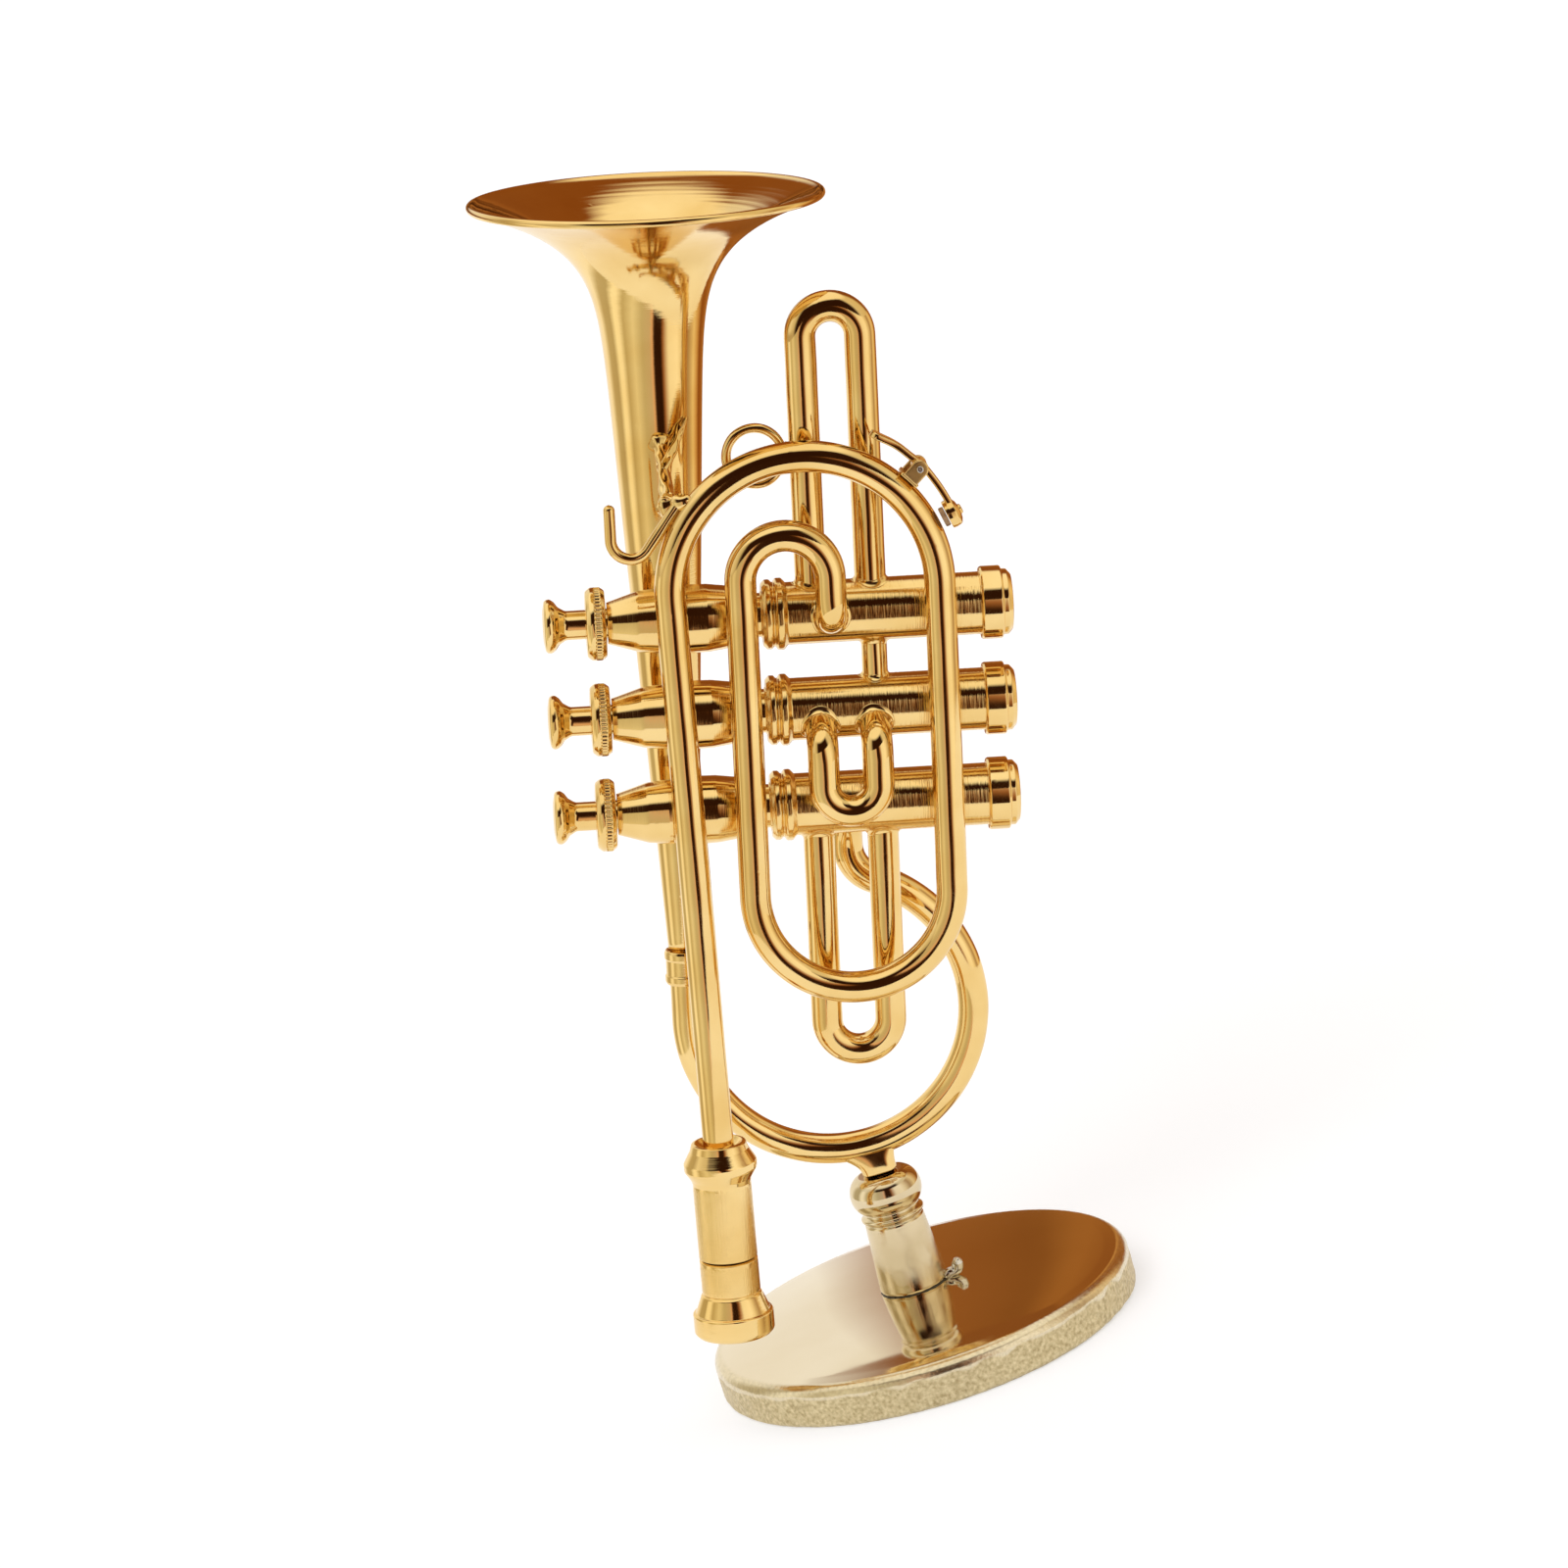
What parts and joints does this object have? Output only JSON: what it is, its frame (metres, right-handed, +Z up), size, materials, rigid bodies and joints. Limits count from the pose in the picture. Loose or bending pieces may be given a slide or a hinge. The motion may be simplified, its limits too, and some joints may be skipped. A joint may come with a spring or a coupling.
{
  "type": "miniature cornet on a stand",
  "caption": "Small brass cornet with piston valves, coiled leadpipe, round bow and flared bell, standing on a turned post over a polished round base.",
  "frame": {"origin": "centre of the base disc's underside", "axes": "+Z up along the stand post; +X along the valves towards their bottom caps as seen from above; -Y towards the side with the coiled leadpipe"},
  "size_m": [0.0506, 0.043, 0.1213],
  "materials": {
    "base": "polished pale gold top, rough sheared edge",
    "post": "polished pale gold",
    "bell": "mirror gold plate",
    "tubing": "mirror gold plate with fine draw lines",
    "turned_brass": "gold plate over fine lathe rings",
    "steel": "bright drawn wire",
    "cork": "cork"
  },
  "bodies": {
    "stand": {"base_disc": "base", "stand_post": "post"},
    "cornet": {"bell": "bell", "bell_bow": "tubing", "bell_brace": "tubing", "bow_ferrule": "tubing", "finger_hook": "tubing", "finger_ring": "tubing", "first_slide": "tubing", "knuckle_1_2": "tubing", "knuckle_2_3": "tubing", "leadpipe_coil": "tubing", "mouthpiece": "turned_brass", "mouthpiece_receiver": "turned_brass", "second_slide": "tubing", "stand_peg": "turned_brass", "third_slide": "tubing", "valve_1_barrel": "turned_brass", "valve_1_bottom_cap": "turned_brass", "valve_1_casing": "turned_brass", "valve_1_spring": "steel", "valve_1_top_cap": "turned_brass", "valve_2_barrel": "turned_brass", "valve_2_bottom_cap": "turned_brass", "valve_2_casing": "turned_brass", "valve_2_spring": "steel", "valve_2_top_cap": "turned_brass", "valve_3_barrel": "turned_brass", "valve_3_bottom_cap": "turned_brass", "valve_3_casing": "turned_brass", "valve_3_spring": "steel", "valve_3_top_cap": "turned_brass", "water_key_pin": "steel", "water_key_saddle": "tubing"},
    "valve_1": {"valve_1_button": "turned_brass", "valve_1_piston": "turned_brass"},
    "valve_2": {"valve_2_button": "turned_brass", "valve_2_piston": "turned_brass"},
    "valve_3": {"valve_3_button": "turned_brass", "valve_3_piston": "turned_brass"},
    "water_key": {"water_key_lever": "tubing", "water_key_cork": "cork"}
  },
  "joints": [
    {"name": "cornet_swivel", "type": "hinge", "parent": "stand", "child": "cornet", "pos_m": [0, 0, 0.0178], "axis": [0, 0, 1], "continuous": true},
    {"name": "valve_1_press", "type": "slide", "parent": "cornet", "child": "valve_1", "axis": [0.9703, 0, -0.2419], "range_m": [0, 0.002], "stiffness_N_per_m": 100, "springref_m": -0.003},
    {"name": "valve_2_press", "type": "slide", "parent": "cornet", "child": "valve_2", "axis": [0.9703, 0, -0.2419], "range_m": [0, 0.002], "stiffness_N_per_m": 100, "springref_m": -0.003},
    {"name": "valve_3_press", "type": "slide", "parent": "cornet", "child": "valve_3", "axis": [0.9703, 0, -0.2419], "range_m": [0, 0.002], "stiffness_N_per_m": 100, "springref_m": -0.003},
    {"name": "water_key_press", "type": "hinge", "parent": "cornet", "child": "water_key", "pos_m": [0.02331, -0.01208, 0.0871], "axis": [0, -1, 0], "range_deg": [0, 15], "stiffness_Nm_per_rad": 0.0005, "springref_deg": -28.65}
  ]
}
